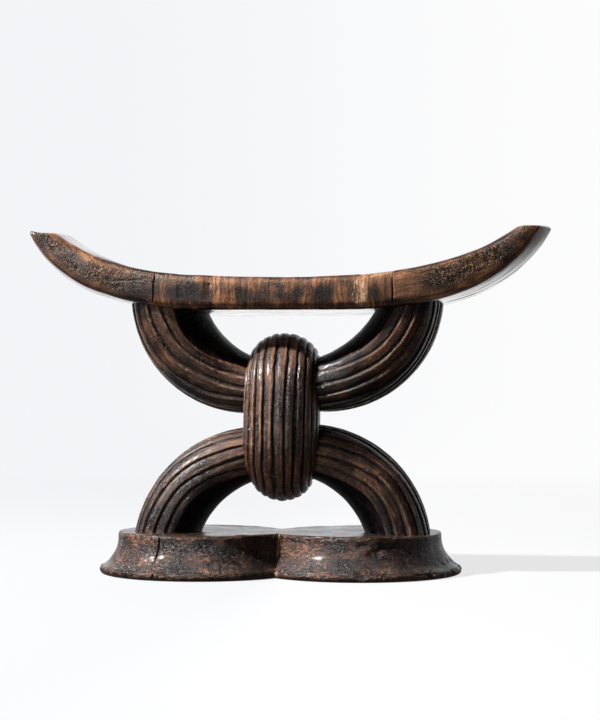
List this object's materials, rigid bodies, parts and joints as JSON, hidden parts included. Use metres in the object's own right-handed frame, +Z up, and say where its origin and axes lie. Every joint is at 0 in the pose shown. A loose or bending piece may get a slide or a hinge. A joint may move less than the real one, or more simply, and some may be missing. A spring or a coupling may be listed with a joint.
{
  "type": "headrest",
  "caption": "Carved wooden headrest: a curved neck rest on two reeded arches bound by a reeded band, over a flared two-lobed plinth.",
  "frame": {"origin": "on the floor, under the middle of the rest", "axes": "+X along the rest, to the right seen from the front; +Y to the back; +Z up"},
  "size_m": [0.1914, 0.0752, 0.1257],
  "materials": {
    "rest_wood": "hand-rubbed gloss over dark brown wood, tan where worn",
    "arm_wood": "near-black stained wood with a waxed sheen, copper brown on the reeds",
    "band_wood": "near-black stained wood with a waxed gloss, copper brown on the reeds",
    "plinth_wood": "waxed dark brown wood with visible grain"
  },
  "bodies": {
    "root": {"head_rest": "rest_wood", "upper_left_arm": "arm_wood", "upper_right_arm": "arm_wood", "binding_band": "band_wood", "lower_left_arm": "arm_wood", "lower_right_arm": "arm_wood", "plinth": "plinth_wood"}
  },
  "joints": []
}
